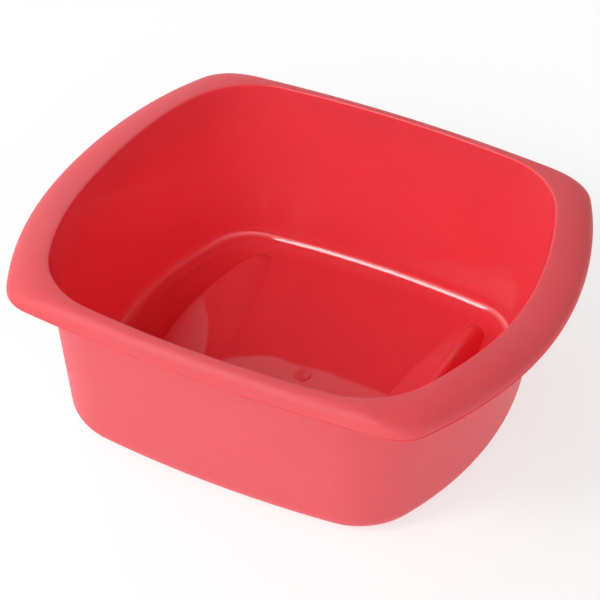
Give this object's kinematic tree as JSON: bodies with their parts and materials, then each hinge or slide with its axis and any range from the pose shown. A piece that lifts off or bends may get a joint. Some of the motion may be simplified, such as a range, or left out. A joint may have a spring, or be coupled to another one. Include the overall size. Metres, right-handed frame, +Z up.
{
  "type": "washing up bowl",
  "caption": "Rounded rectangular moulded plastic washing up bowl with leaning walls, a rolled rim with dipped end grips and finger hollows in the floor.",
  "frame": {"origin": "middle of the underside of the base, on the surface the bowl stands on", "axes": "+X along the bowl's length towards one grip, +Y across its width, +Z up"},
  "size_m": [0.39, 0.327, 0.139],
  "materials": {
    "gloss_polypropylene": "gloss, as moulded, coral red"
  },
  "bodies": {
    "root": {"bowl": "gloss_polypropylene"}
  },
  "joints": []
}
